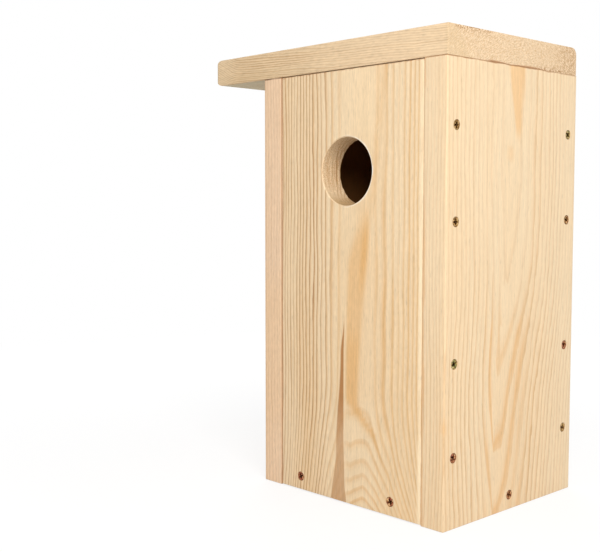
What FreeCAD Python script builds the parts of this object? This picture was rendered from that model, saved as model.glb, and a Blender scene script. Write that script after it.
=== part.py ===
import FreeCAD, Part
import math
import os

# Squirrel house: a box of six planed softwood boards, butted and held with countersunk wood screws.
# Millimetres, Z up. X runs across the two walls and along the roof, Y from the entrance to the rear.
# The origin is the middle of the base, on the plane that the house stands on.

# The house
house_width = 211.0          # over the two walls, along X
house_depth = 184.0          # width of the wall boards, along Y
wall_height = 372.0          # from the base to the underside of the roof
wall_thickness = 23.0
panel_thickness = 23.0       # entrance panel and rear panel, which stand between the walls
floor_thickness = 23.0
roof_thickness = 24.0
roof_overhang = 70.0         # past the left wall only, the roof is flush at the front and right
roof_rear_setback = 1.4      # of the roof's rear edge behind the walls' rear edges

# How the panels sit between the walls
panel_setback = 0.8          # of a panel's face behind the walls' edges
panel_lift = 0.5             # of a panel's foot above the base
panel_top_gap = 0.6          # between a panel's top and the roof, which rests on the walls

# Entrance hole
entrance_diameter = 58.0
entrance_drop = 86.0         # of its centre below the walls' top
entrance_shift = -2.0        # of its centre from the middle of the house, along X
entrance_rim = 0.7           # width of the sanded bevel at each rim

# Eased edges along the grain, where a board's sawn ends stay sharp
wall_arris = 1.2
panel_arris = 1.2
roof_arris = 0.8             # both edges at the front and the lower one at the rear
roof_rear_round = 7.0        # upper edge at the rear
roof_nose_round = 6.5        # upper edge of the overhanging end
roof_nose_lower_round = 3.5
roof_nose_side_round = 2.5   # its two upright edges

# Wood screw, countersunk, with a cross recess
screw_sides = 16             # flats that stand for the round of a screw and of its bore
screw_length = 45.0
screw_diameter = 4.0
screw_head_diameter = 8.0
screw_head_rim = 0.5         # straight edge of the head above its cone
screw_head_angle = 90.0
screw_point_length = 6.0
screw_head_sink = 0.4        # of the head below the face of the board
screw_clearance = 0.1        # all round the screw in its bore
recess_reach = 2.2           # from the screw's axis to the end of an arm
recess_arm_width = 1.1
recess_depth = 2.0
recess_taper = 0.45          # reach at the recess's bottom against its mouth

# Places of the screws
lowest_screw_height = 57.5   # wall screws, above the base
top_screw_drop = 52.6        # wall screws, below the walls' top
screw_pair_pitch = 75.0      # the four screws of a column stand in two pairs
left_floor_screw_inset = 24.6     # panel screws into the floor, from the left wall's inner face
right_floor_screw_inset = 33.4    # the same, from the right wall's inner face
floor_screw_height = 12.2    # screws into the floor, above the base
wall_floor_screw_shift = -2.2     # of the walls' screws into the floor from the middle, along Y
roof_screw_inset = 36.0      # roof screws, from the front and rear edges of the walls

# Planes that the pieces share
wall_outside = house_width / 2
wall_inside = wall_outside - wall_thickness
panel_outside = house_depth / 2 - panel_setback
panel_inside = panel_outside - panel_thickness
panel_middle = panel_outside - panel_thickness / 2
wall_middle = wall_outside - wall_thickness / 2
roof_left = -wall_outside - roof_overhang
roof_top = wall_height + roof_thickness

X_AXIS = FreeCAD.Vector(1, 0, 0)
Y_AXIS = FreeCAD.Vector(0, 1, 0)
Z_AXIS = FreeCAD.Vector(0, 0, 1)


def is_along(edge, axis):
    """True for a straight edge that is parallel to the axis."""
    if not isinstance(edge.Curve, Part.Line):
        return False
    return abs(edge.tangentAt(edge.FirstParameter).dot(axis)) > 0.999


def lies_at(edge, axis, place):
    """True for an edge that lies in the plane square to the axis at that place."""
    places = [vertex.Point.dot(axis) for vertex in edge.Vertexes]
    places.append(edge.CenterOfMass.dot(axis))
    return all(abs(value - place) < 1e-6 for value in places)


def block(low, high):
    """A sawn board between two opposite corners."""
    size = FreeCAD.Vector(*high) - FreeCAD.Vector(*low)
    return Part.makeBox(size.x, size.y, size.z, FreeCAD.Vector(*low))


def planed_board(low, high, grain, arris):
    """A planed board, with its four edges along the grain rounded."""
    board = block(low, high)
    return board.makeFillet(arris, [edge for edge in board.Edges if is_along(edge, grain)])


def make_wall(side):
    """Left (side -1) or right (side 1) wall, which covers the edges of both panels and of the floor."""
    faces = sorted((side * wall_inside, side * wall_outside))
    low = (faces[0], -house_depth / 2, 0)
    high = (faces[1], house_depth / 2, wall_height)
    return planed_board(low, high, Z_AXIS, wall_arris)


def make_panel(side):
    """Entrance panel (side -1) or rear panel (side 1), between the walls."""
    faces = sorted((side * panel_inside, side * panel_outside))
    low = (-wall_inside, faces[0], panel_lift)
    high = (wall_inside, faces[1], wall_height - panel_top_gap)
    return planed_board(low, high, Z_AXIS, panel_arris)


def bore_entrance(panel):
    """The round entrance, bored along Y, with both rims bevelled."""
    radius = entrance_diameter / 2
    height = wall_height - entrance_drop
    start = FreeCAD.Vector(entrance_shift, -house_depth / 2, height)
    panel = panel.cut(Part.makeCylinder(radius, panel_setback + 2 * panel_thickness, start, Y_AXIS))
    rims = [edge for edge in panel.Edges
            if isinstance(edge.Curve, Part.Circle) and abs(edge.Curve.Radius - radius) < 1e-6]
    return panel.makeChamfer(entrance_rim, rims)


def make_floor():
    """Floor board, inside the four uprights and level with the walls' feet."""
    low = (-wall_inside, -panel_inside, 0)
    high = (wall_inside, panel_inside, floor_thickness)
    return planed_board(low, high, X_AXIS, panel_arris)


def moulded_board(low, high, rounds):
    """A board with a round on some edges: each round is a radius and the two planes that its edge lies in."""
    board = block(low, high)
    for radius, *planes in rounds:
        edges = [edge for edge in board.Edges if all(lies_at(edge, axis, place) for axis, place in planes)]
        board = board.makeFillet(radius, edges)
    return board


def make_roof():
    """Roof board: the edges along it, across its free end and up its free end are moulded in turn, and mitre."""
    left = (X_AXIS, roof_left)
    front = (Y_AXIS, -house_depth / 2)
    rear = (Y_AXIS, house_depth / 2 - roof_rear_setback)
    bottom = (Z_AXIS, wall_height)
    top = (Z_AXIS, roof_top)
    low = (roof_left, front[1], wall_height)
    high = (wall_outside, rear[1], roof_top)
    lengthways = [(roof_rear_round, rear, top)]
    lengthways += [(roof_arris, *planes) for planes in ((rear, bottom), (front, top), (front, bottom))]
    crossways = [(roof_nose_round, left, top), (roof_nose_lower_round, left, bottom)]
    upright = [(roof_nose_side_round, left, front), (roof_nose_side_round, left, rear)]
    roof = moulded_board(low, high, lengthways)
    return roof.common(moulded_board(low, high, crossways)).common(moulded_board(low, high, upright))


def screw_outline(top, spare):
    """Half outline of a screw from its top down, widened by the spare room of its bore: radii and depths."""
    head = screw_head_diameter / 2 + spare
    shank = screw_diameter / 2 + spare
    cone = (head - shank) / math.tan(math.radians(screw_head_angle / 2))
    return [
        (head, top),
        (head, screw_head_rim),
        (shank, screw_head_rim + cone),
        (shank, screw_length - screw_point_length),
        (0, screw_length + spare),
    ]


def flat_sided(outline):
    """A closed solid about Z from half an outline that ends in a point, with flats in place of the round."""
    turns = [2 * math.pi * side / screw_sides for side in range(screw_sides + 1)]
    rings = [[FreeCAD.Vector(radius * math.cos(turn), radius * math.sin(turn), depth) for turn in turns]
             for radius, depth in outline]
    point = rings.pop()[0]
    faces = [Part.Face(Part.makePolygon(rings[0]))]
    for side in range(screw_sides):
        for upper, lower in zip(rings, rings[1:]):
            corners = [upper[side], upper[side + 1], lower[side + 1], lower[side], upper[side]]
            faces.append(Part.Face(Part.makePolygon(corners)))
        corners = [rings[-1][side], rings[-1][side + 1], point, rings[-1][side]]
        faces.append(Part.Face(Part.makePolygon(corners)))
    solid = Part.Solid(Part.makeShell(faces))
    solid.fix(1e-6, 1e-6, 1e-6)
    return solid


def make_recess():
    """Cross recess: two slots at right angles, whose ends taper towards the bottom."""
    low = recess_taper * recess_reach
    outline = [(-recess_reach, 0), (recess_reach, 0), (low, recess_depth), (-low, recess_depth), (-recess_reach, 0)]
    edge = Part.makePolygon([FreeCAD.Vector(x, -recess_arm_width / 2, depth) for x, depth in outline])
    slot = Part.Face(edge).extrude(Y_AXIS * recess_arm_width)
    crossing = slot.copy()
    crossing.rotate(FreeCAD.Vector(), Z_AXIS, 90)
    return slot.fuse(crossing)


def make_screw():
    """Screw along +Z, with the top of its head at the origin."""
    return flat_sided(screw_outline(0, 0)).cut(make_recess())


def make_bore():
    """What a screw takes out of the boards: countersink, clearance bore and pilot hole in one."""
    return flat_sided(screw_outline(-2 * screw_head_sink, screw_clearance))


def driven(shape, face_point, direction):
    """The shape moved to a point on a board's face and turned to the way its screw is driven."""
    place = FreeCAD.Vector(*face_point) + direction * screw_head_sink
    moved = shape.copy()
    moved.Placement = FreeCAD.Placement(place, FreeCAD.Rotation(Z_AXIS, direction))
    return moved


def screw_places():
    """Each screw's name, the point on the face that it is driven into, its direction and its two boards."""
    heights = [
        lowest_screw_height,
        lowest_screw_height + screw_pair_pitch,
        wall_height - top_screw_drop - screw_pair_pitch,
        wall_height - top_screw_drop,
    ]
    walls = (("left_wall", -1), ("right_wall", 1))
    panels = (("entrance_panel", -1), ("rear_panel", 1))
    floor_screws_x = (
        ("left", -wall_inside + left_floor_screw_inset),
        ("right", wall_inside - right_floor_screw_inset),
    )
    places = []
    for wall, x_side in walls:
        inwards = X_AXIS * -x_side
        for panel, y_side in panels:
            column = panel.replace("_panel", "")
            for number, height in enumerate(heights, 1):
                point = (x_side * wall_outside, y_side * panel_middle, height)
                places.append((f"{wall}_{column}_screw_{number}", point, inwards, (wall, panel)))
        point = (x_side * wall_outside, wall_floor_screw_shift, floor_screw_height)
        places.append((f"{wall}_floor_screw", point, inwards, (wall, "floor_board")))
        for end, y_side in (("front", -1), ("rear", 1)):
            point = (x_side * wall_middle, y_side * (house_depth / 2 - roof_screw_inset), roof_top)
            places.append((f"roof_{wall}_screw_{end}", point, -Z_AXIS, ("roof_board", wall)))
    for panel, y_side in panels:
        for side, x in floor_screws_x:
            point = (x, y_side * panel_outside, floor_screw_height)
            places.append((f"{panel}_floor_screw_{side}", point, Y_AXIS * -y_side, (panel, "floor_board")))
    return places


def main():
    boards = {
        "left_wall": make_wall(-1),
        "right_wall": make_wall(1),
        "entrance_panel": bore_entrance(make_panel(-1)),
        "rear_panel": make_panel(1),
        "floor_board": make_floor(),
        "roof_board": make_roof(),
    }
    screw = make_screw()
    bore = make_bore()
    nodes = {}
    for name, point, direction, joined in screw_places():
        nodes[name] = driven(screw, point, direction)
        for board in joined:
            boards[board] = boards[board].cut(driven(bore, point, direction))
    nodes.update(boards)

    os.makedirs("parts", exist_ok=True)
    for name, shape in nodes.items():
        shape.exportStep(f"parts/{name}.step")
    print(len(nodes), "nodes,", sum(len(shape.Solids) for shape in nodes.values()), "solids, all valid:",
          all(shape.isValid() for shape in nodes.values()))


main()
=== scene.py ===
import math

import bmesh
import bpy
import numpy as np
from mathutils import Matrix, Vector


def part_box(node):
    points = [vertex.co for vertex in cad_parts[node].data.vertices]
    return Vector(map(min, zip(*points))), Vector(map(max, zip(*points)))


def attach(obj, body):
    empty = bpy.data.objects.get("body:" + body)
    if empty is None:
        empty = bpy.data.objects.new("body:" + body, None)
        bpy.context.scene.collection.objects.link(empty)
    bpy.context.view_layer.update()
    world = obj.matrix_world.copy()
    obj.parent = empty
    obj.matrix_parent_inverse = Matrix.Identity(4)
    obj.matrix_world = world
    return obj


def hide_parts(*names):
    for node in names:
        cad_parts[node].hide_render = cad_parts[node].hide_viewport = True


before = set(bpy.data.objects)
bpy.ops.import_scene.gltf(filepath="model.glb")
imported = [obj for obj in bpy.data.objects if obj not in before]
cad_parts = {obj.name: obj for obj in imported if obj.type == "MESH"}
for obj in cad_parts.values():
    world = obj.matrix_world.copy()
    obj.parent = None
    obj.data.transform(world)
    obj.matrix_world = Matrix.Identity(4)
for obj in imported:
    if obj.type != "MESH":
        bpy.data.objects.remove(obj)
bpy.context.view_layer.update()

mm = 0.001
print("frame loaded:", len(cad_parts), "CAD nodes")


# Colours and nodes

def hexToLinear(code):
    # sRGB hex to linear light: a straight line at the dark end, and a power of 2.4 above it
    values = np.array([int(code[i:i + 2], 16) for i in (1, 3, 5)]) / 255
    linear = np.where(values <= 0.04045, values / 12.92, ((values + 0.055) / 1.055) ** 2.4)
    return (*linear.tolist(), 1.0)


def addNode(tree, kind, inputs=None, **settings):
    # one node: its settings, then its inputs by name or number, each from a value or another node's socket
    node = tree.nodes.new(kind)
    for key, value in settings.items():
        setattr(node, key, value)
    for key, value in (inputs or {}).items():
        if isinstance(value, bpy.types.NodeSocket):
            tree.links.new(value, node.inputs[key])
        else:
            node.inputs[key].default_value = value
    return node


def setStops(ramp, stops):
    # stops of a colour ramp, as place and grey level or hex colour
    for stop in stops[1:-1]:
        ramp.elements.new(stop[0])
    for element, (place, colour) in zip(ramp.elements, stops):
        element.position = place
        element.color = hexToLinear(colour) if isinstance(colour, str) else (colour, colour, colour, 1.0)


def newMaterial(name):
    material = bpy.data.materials.new(name)
    material.use_nodes = True
    material.node_tree.nodes.clear()
    return material, material.node_tree


# Camera, floor and light

cameraSet = {
    "place": (576.8, -692.9, 256.8),   # mm, worked out from the corners of the house in the photo
    "turn": 46.57,                     # degrees round Z
    "dip": 4.09,                       # degrees below level
    "lens": 58.83,                     # mm
    "sensor": 36.0,                    # mm wide
    "nearest": 10.0,                   # mm, nothing closer is drawn
}
stageSet = {
    "floorHalf": 6000.0,               # mm
    "floorDrop": 0.3,                  # mm, under the base
    "paper": "#dedede",
    "paperWhite": 1.20,                # the even white under the shading, 1 is white
    "paperShare": 0.40,                # how much of the floor's shading the camera sees near the house
    "paperFade": (300.0, 1100.0),      # mm from the house, where that share falls to nothing
    "sky": 0.56,                       # strength of the light from the sky
    "lightAim": (0.0, 0.0, 200.0),     # mm
    "lights": {                        # place in mm, size in mm, power
        "soft box": ((910.0, -775.0, 830.0), 700.0, 12.7),      # to the right of the house and above it
        "rear fill": ((-950.0, 900.0, 700.0), 900.0, 6.0),      # for the sides that the camera doesn't see
    },
}


def addCamera():
    data = bpy.data.cameras.new("camera")
    data.sensor_width = cameraSet["sensor"]
    data.lens = cameraSet["lens"]
    data.clip_start = cameraSet["nearest"] * mm
    camera = bpy.data.objects.new("camera", data)
    camera.location = [value * mm for value in cameraSet["place"]]
    camera.rotation_euler = (math.radians(90 - cameraSet["dip"]), 0, math.radians(cameraSet["turn"]))
    bpy.context.scene.collection.objects.link(camera)
    bpy.context.scene.camera = camera


def seenDirectly(tree):
    # 1 for what the camera sees, straight or by way of metal
    path = addNode(tree, "ShaderNodeLightPath")
    shiny = addNode(tree, "ShaderNodeMath", {0: path.outputs["Is Glossy Ray"],
                                             1: path.outputs["Is Transmission Ray"]}, operation="ADD")
    seen = addNode(tree, "ShaderNodeMath", {0: path.outputs["Is Camera Ray"], 1: shiny.outputs[0]},
                   operation="ADD", use_clamp=True)
    return seen.outputs[0]


def addFloor():
    half = stageSet["floorHalf"] * mm
    low = -stageSet["floorDrop"] * mm
    corners = [(-half, -half, low), (half, -half, low), (half, half, low), (-half, half, low)]
    mesh = bpy.data.meshes.new("floor")
    mesh.from_pydata(corners, [], [(0, 1, 2, 3)])
    floor = bpy.data.objects.new("floor", mesh)
    bpy.context.scene.collection.objects.link(floor)
    # white paper: near the house the camera sees its soft shadow, and further off an even white
    material, tree = newMaterial("white paper floor")
    paper = addNode(tree, "ShaderNodeBsdfDiffuse", {"Color": hexToLinear(stageSet["paper"])})
    place = addNode(tree, "ShaderNodeTexCoord").outputs["Object"]
    far = addNode(tree, "ShaderNodeVectorMath", {0: place}, operation="LENGTH").outputs["Value"]
    near, end = [value * mm for value in stageSet["paperFade"]]
    white, share = [addNode(tree, "ShaderNodeMapRange", {
        "Value": far, "From Min": near, "From Max": end, "To Min": nearby, "To Max": 1.0}).outputs[0]
        for nearby in (stageSet["paperWhite"], 1 - stageSet["paperShare"])]
    even = addNode(tree, "ShaderNodeEmission", {"Color": (1, 1, 1, 1), "Strength": white})
    seen = addNode(tree, "ShaderNodeMath", {0: seenDirectly(tree), 1: share}, operation="MULTIPLY")
    mix = addNode(tree, "ShaderNodeMixShader", {0: seen.outputs[0], 1: paper.outputs[0], 2: even.outputs[0]})
    addNode(tree, "ShaderNodeOutputMaterial", {"Surface": mix.outputs[0]})
    mesh.materials.append(material)


def addLight():
    world = bpy.data.worlds.new("white sky")
    world.use_nodes = True
    tree = world.node_tree
    tree.nodes.clear()
    strength = addNode(tree, "ShaderNodeMapRange", {"Value": seenDirectly(tree), "To Min": stageSet["sky"],
                                                    "To Max": 1.0})
    sky = addNode(tree, "ShaderNodeBackground", {"Color": (1, 1, 1, 1), "Strength": strength.outputs[0]})
    addNode(tree, "ShaderNodeOutputWorld", {"Surface": sky.outputs[0]})
    bpy.context.scene.world = world
    for name, (place, size, power) in stageSet["lights"].items():
        light = bpy.data.lights.new(name, "AREA")
        light.size = size * mm
        light.energy = power
        lamp = bpy.data.objects.new(name, light)
        x, y, z = np.array(place) - stageSet["lightAim"]
        lamp.location = [value * mm for value in place]
        lamp.rotation_euler = (math.atan2(math.hypot(x, y), z), 0, math.atan2(x, -y))
        bpy.context.scene.collection.objects.link(lamp)


addCamera()
addFloor()
addLight()
bpy.context.scene.view_settings.view_transform = "Standard"
print("camera, floor and light in place")


# Board shapes

meshSet = {
    "merge": 0.005,                    # mm, points closer than this become one
    "sharpAngle": 32.0,                # degrees, an edge that turns more isn't shaded smooth
    "near": 0.001,                     # mm, for points that lie on a line
}
boardSet = {                           # what a board has unless its own settings say otherwise
    "step": 4.0,                       # mm between grid lines on a plain face
    "rounds": (1.2, 1.2, 1.2, 1.2),    # mm, the long edges: low face, high face, and back on the other side
    "ends": (0.3, 0.3),                # mm, round the two sawn ends
    "cornerColumns": 6,
    "endRows": 7,
    "capRows": 5,
    "markRoom": 0.3,                   # of a step, kept free outside the rings of a mark
    "seatRings": (0.0, 1.6, 2.8, 3.5, 4.05, 4.3, 5.6, 7.5),   # mm, grid rings round a screw
    "seatRadii": (0.0, 2.0, 4.05, 4.3),                       # mm, and the depth of the seat there
    "seatDepths": (3.3, 3.1, 0.95, 0.0),
    "seatRound": 4.3,                  # mm, inside this the rings are circles
}


def ease(low, high, value):
    # 0 before low, 1 past high, and a smooth S between
    share = np.clip((value - low) / (high - low), 0, 1)
    return share * share * (3 - 2 * share)


def ripple(seed, *places):
    # soft noise between about -1 and 1: a sum of sine waves with seeded directions and starts
    random = np.random.default_rng(seed)
    waves = 5
    usualPeak = 2.6
    total = 0
    for wave in range(waves):
        slopes = random.normal(size=len(places))
        start = random.uniform(0, 2 * math.pi)
        turns = sum(slope * place for slope, place in zip(slopes, places))
        total = total + np.sin(turns * 2 * math.pi + start)
    return total / usualPeak


def nodeBox(node):
    # lowest and highest corners of a CAD node in mm
    return [np.array(corner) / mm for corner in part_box(node)]


def gridLines(low, high, step, marks):
    # even lines from low to high, and near each mark the mark's own rings in their place
    lines = np.linspace(low, high, int(round((high - low) / step)) + 1)
    for mark, rings in marks:
        lines = lines[np.abs(lines - mark) > rings[-1] + step * boardSet["markRoom"]]
    rings = [mark + sign * np.array(rings) for mark, rings in marks for sign in (-1, 1)]
    lines = np.concatenate([lines, [low, high], *rings])
    return np.unique(np.round(lines, 4))


def ringQuads(index):
    # faces between the rows of a grid of point numbers, whose last column meets its first
    beside = np.roll(index, -1, axis=1)
    return np.stack((index[:-1], beside[:-1], beside[1:], index[1:]), axis=-1).reshape(-1, 4)


def roundOff(across, along, centre, inner, reach, where):
    # Turns the grid's square rings round a centre into circles. Out to inner, a ring keeps its half width as
    # its radius, and from there to reach it eases back to the square. Gives the new places and the rings.
    a = across - centre[0]
    b = along - centre[1]
    ring = np.maximum(np.abs(a), np.abs(b))
    far = np.maximum(np.hypot(a, b), 1e-9)  # never 0
    share = np.clip((ring - inner) / (reach - inner), 0, 1)
    scale = np.where(where, (ring + (far - ring) * share) / far, 1.0)
    return centre[0] + a * scale, centre[1] + b * scale, np.where(where, ring, np.inf)


def sectionColumns(low, high, rounds, faceLines, edgeLines):
    # Once round a rounded rectangle: low face, corner, edge, corner, high face, corner, edge, corner. Each
    # corner is a quarter circle. The last array is 0 on the low face, 1 on the high face, else -1.
    (w0, t0), (w1, t1) = low, high
    places = []
    marks = []
    rightLines, leftLines = edgeLines
    sides = [(faceLines, np.full(len(faceLines), t0), 0),
             (np.full(len(rightLines), w1), rightLines, -1),
             (faceLines[::-1], np.full(len(faceLines), t1), 1),
             (np.full(len(leftLines), w0), leftLines[::-1], -1)]
    corners = [(w1, t0, -1, 1), (w1, t1, -1, -1), (w0, t1, 1, -1), (w0, t0, 1, 1)]
    for number, ((w, t, mark), (cornerW, cornerT, wSign, tSign)) in enumerate(zip(sides, corners)):
        radius = rounds[number]
        turn = (np.linspace(-1, 0, boardSet["cornerColumns"]) + number) * math.pi / 2
        places.append(np.stack((w, t)))
        places.append(np.stack((cornerW + wSign * radius + radius * np.cos(turn),
                                cornerT + tSign * radius + radius * np.sin(turn))))
        marks.append(np.full(len(w), mark))
        marks.append(np.full(len(turn), -1))
    return *np.concatenate(places, axis=1), np.concatenate(marks)


def endInset(radius, far):
    # how much a rounded edge has drawn in at some distance from the board's end: a quarter circle
    gap = np.clip(radius - far, 0, None)
    return radius - np.sqrt(radius ** 2 - gap ** 2)


def toObject(name, points, quads, values):
    # a closed mesh from whole arrays, with a value of each kind at every point: unused points dropped,
    # doubles merged, faces turned outwards
    used, quads = np.unique(quads, return_inverse=True)
    mesh = bpy.data.meshes.new(name)
    mesh.from_pydata((points[used] * mm).tolist(), [], quads.reshape(-1, 4).tolist())
    for key, numbers in values.items():
        layer = mesh.attributes.new(key, "FLOAT", "POINT")
        layer.data.foreach_set("value", np.broadcast_to(numbers, len(points))[used].astype(np.float32))
    build = bmesh.new()
    build.from_mesh(mesh)
    bmesh.ops.remove_doubles(build, verts=build.verts, dist=meshSet["merge"] * mm)
    bmesh.ops.recalc_face_normals(build, faces=build.faces)
    build.to_mesh(mesh)
    build.free()
    mesh.polygons.foreach_set("use_smooth", np.ones(len(mesh.polygons), bool))
    mesh.set_sharp_from_angle(angle=math.radians(meshSet["sharpAngle"]))
    piece = bpy.data.objects.new(name, mesh)
    bpy.context.scene.collection.objects.link(piece)
    return piece


def screwsIn(board):
    # CAD nodes of the screws that go through a board from its outer face
    return [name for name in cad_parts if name.startswith(board["screws"]) and "_screw" in name]


def shapeBoard(board):
    # A board is a rounded rectangle carried along the grain: w goes across it, t through it and l along it.
    # Columns go once round the section, rows go from one sawn end to the other, and past each end the section
    # shrinks onto its middle line, which closes it. Gives the points, the faces, and values that mark the
    # wall and the rim of a hole.
    settings = {**boardSet, **board}
    axes = list(board["axes"])
    (w0, t0, l0), (w1, t1, l1) = [corner[axes] for corner in nodeBox(board["node"])]
    seats = [(sum(nodeBox(node)) / 2)[axes[::2]] for node in screwsIn(board)]
    hole = board.get("hole")
    marks = [[(place, boardSet["seatRings"]) for place in sorted({round(seat[way], 3) for seat in seats})]
             for way in (0, 1)]
    if hole:
        edge = hole["radius"] + hole["bevel"]
        inner = np.linspace(0, edge, hole["innerRings"])
        rings = np.concatenate((inner, edge + np.array(hole["outerRings"])))
        for way in (0, 1):
            marks[way].append((hole["centre"][way], rings))

    rounds = settings["rounds"]
    step = settings["step"]
    faceLines = gridLines(w0 + max(rounds[2:]), w1 - max(rounds[:2]), step, marks[0])
    edgeLines = [gridLines(t0 + rounds[first], t1 - rounds[last], step, [])
                 for first, last in ((0, 1), (3, 2))]
    w, t, face = sectionColumns((w0, t0), (w1, t1), rounds, faceLines, edgeLines)

    ends = [np.broadcast_to(radii, 3) for radii in settings["ends"]]
    first, last = [radii.max() for radii in ends]
    bodyLines = gridLines(l0 + first, l1 - last, step, marks[1])
    curve = 1 - np.cos(np.linspace(0, math.pi / 2, boardSet["endRows"] + 2)[1:-1])
    cap = np.linspace(1, 0, boardSet["capRows"])
    length = np.concatenate((np.full(len(cap), l0), l0 + first * curve, bodyLines,
                             (l1 - last * curve)[::-1], np.full(len(cap), l1)))
    insets = [endInset(start, length - l0) + endInset(end, l1 - length) for start, end in zip(*ends)]
    sides, lowFace, highFace = [inset[:, None] for inset in insets]
    shrink = np.concatenate((cap, np.zeros(len(curve) * 2 + len(bodyLines)), cap[::-1]))[:, None]
    half = (t1 - t0) / 2
    gridW = np.clip(w, w0 + sides, w1 - sides)
    gridT = np.clip(t, t0 + lowFace, t1 - highFace)
    gridW = gridW + shrink * (np.clip(gridW, w0 + half, w1 - half) - gridW)
    gridT = gridT + shrink * ((t0 + t1) / 2 - gridT)
    gridL = length[:, None] + np.zeros_like(gridW)

    onFace = (face[None, :] >= 0) & (shrink == 0)
    onOuter = (face[None, :] == (1 if board["outward"] > 0 else 0)) & (shrink == 0)
    seatReach = boardSet["seatRings"][-1]
    for seat in seats:
        gridW, gridL, ring = roundOff(gridW, gridL, seat, boardSet["seatRound"], seatReach, onOuter)
        gridT = gridT - board["outward"] * np.interp(ring, boardSet["seatRadii"], boardSet["seatDepths"])

    quads = ringQuads(np.arange(gridW.size).reshape(gridW.shape))
    if hole:
        holeReach = edge + hole["outerRings"][-1]
        gridW, gridL, ring = roundOff(gridW, gridL, hole["centre"], edge, holeReach, onFace)
        quads = quads[ring.ravel()[quads].max(axis=1) > edge + meshSet["near"]]
    points = np.zeros((gridW.size, 3))
    points[:, axes] = np.stack((gridW, gridT, gridL), axis=-1).reshape(-1, 3)
    if not hole:
        return points, quads, {}
    rimSide = np.where(np.abs(ring - edge) < meshSet["near"], face, -1)
    return addHoleWall(board, points, quads, rimSide.ravel())


def addHoleWall(board, points, quads, rimSide):
    # The wall of a hole: circles from the low face, where rimSide is 0, to the high face, where it is 1. They
    # are wider at both rims for the bevel, and narrower by soft noise where the bit came out, for the fibres
    # that it left standing. The lower part of the wall is end grain, darkened there as painted shade, and the
    # rim has a painted highlight on one side.
    hole = board["hole"]
    across, through, along = board["axes"]
    low, high = [corner[through] for corner in nodeBox(board["node"])]
    edge = hole["radius"] + hole["bevel"]
    a, b = [points[:, axis] - place for axis, place in zip((across, along), hole["centre"])]
    loops = []
    for side in (0, 1):
        here = np.flatnonzero(rimSide == side)
        loops.append(here[np.argsort(np.arctan2(b[here], a[here]))])
    angle = np.arctan2(b[loops[0]], a[loops[0]])
    depths = np.linspace(low + hole["bevel"], high - hole["bevel"], hole["wallRows"])[:, None]
    waves = hole["fibreWaves"]
    fibres = ease(0.0, 1.5, 1 + ripple(21, waves * np.cos(angle), waves * np.sin(angle)))
    out = ease(*hole["fibreDepth"], np.linspace(0, 1, len(depths)))[:, None]
    radius = hole["radius"] - hole["fibres"] * fibres * out
    wall = np.zeros((*radius.shape, 3))
    wall[:, :, across] = hole["centre"][0] + radius * np.cos(angle)
    wall[:, :, through] = depths
    wall[:, :, along] = hole["centre"][1] + radius * np.sin(angle)
    inside = len(points) + np.arange(radius.size).reshape(radius.shape)
    points = np.concatenate((points, wall.reshape(-1, 3)))
    quads = np.concatenate((quads, ringQuads(np.concatenate((loops[0][None], inside, loops[1][None])))))
    a, b = [points[:, axis] - place for axis, place in zip((across, along), hole["centre"])]
    bored = np.arange(len(points)) >= inside[0, 0]
    spare = 0.01  # mm
    onRim = (np.hypot(a, b) < edge + hole["outerRings"][0] + spare) & (points[:, through] < low + spare)
    # the lower wall is end grain, darkened only at the foot, which is painted shade
    return points, quads, {"bored": bored * (1 - hole["endGrainAndShade"] * ease(*hole["endGrainAndShadeLow"], -b / edge)),
                           # a painted highlight on the rim, strongest on its right side
                           "rim": onRim * hole["rim"] * ease(*hole["rimRight"], a / edge)}


# Growth rings and wood

def growthRings(board, points):
    # Growth rings, counted sideways from the middle line of the arches: none on a plateau, then ever closer
    # by sqrt(a squared + flat squared) - flat, and evenly by a crease, which points the arches. Along the
    # board the count rises or falls, most near the middle line, which makes the arches, and it falls with
    # the depth in the board. Of each pair of values the first is for the left of the middle line.
    log = board["log"]
    across, through, along = board["axes"]
    low, high = nodeBox(board["node"])
    outer = high[through] if board["outward"] > 0 else low[through]
    behind = (outer - points[through]) * board["outward"]
    aside = points[across] - log["heart"]
    near = 1 / (1 + (aside / np.where(aside < 0, *log["reach"])) ** 2)
    shift, start, end = log["lean"]
    aside = aside - shift * ease(start, end, points[along]) * near
    plateau, flat, width, crease = [np.where(aside < 0, *log[key])
                                    for key in ("plateau", "flat", "ringWidth", "crease")]
    out = np.maximum(np.abs(aside) - plateau, 0)
    sideways = (np.sqrt(out ** 2 + flat ** 2) - flat) / width + crease * np.abs(aside)
    amount, start, end, power = log["rise"]
    rise = amount * np.clip((points[along] - start) / (end - start), 0, 1) ** power
    return sideways + rise * near - behind / log["ringDepth"] + log["first"]


def ringSpread(board, points):
    # How much of its usual share of a ring the latewood takes up: all of it where rings are close, and less
    # where they lie far apart, because latewood is never wide. From the slope of the count over 1 mm.
    here = growthRings(board, points)
    slope = 0
    for axis in (board["axes"][0], board["axes"][2]):
        aside = points.copy()
        aside[axis] += 1.0
        slope = slope + (growthRings(board, aside) - here) ** 2
    return np.clip(np.sqrt(slope) * woodSet["closeRing"], woodSet["leastSpread"], 1.0)


def insideHouse(points):
    # 1 on the faces that look into the chamber, which are painted in shade
    low = [nodeBox(node)[1][axis] for axis, node in enumerate(("left_wall", "entrance_panel", "floor_board"))]
    high = [nodeBox(node)[0][axis] for axis, node in enumerate(("right_wall", "rear_panel", "roof_board"))]
    spare = 0.3  # mm
    inner = np.ones(points.shape[1])
    for axis in range(3):
        inner = inner * (points[axis] > low[axis] - spare) * (points[axis] < high[axis] + spare)
    return inner


def placeFigure(figure, x, y, z):
    # Where each named mark of a board lies, from 0 to 1: along its axis it starts and is full, and where two
    # more places are given it fades and ends there.
    places = {"x": x, "y": y, "z": z}
    at = {}
    for key, (axis, start, full, *after) in figure.items():
        at[key] = ease(start, full, places[axis])
        if after:
            fade, end = after
            at[key] = at[key] * ease(end, fade, places[axis])
    return at


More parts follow.
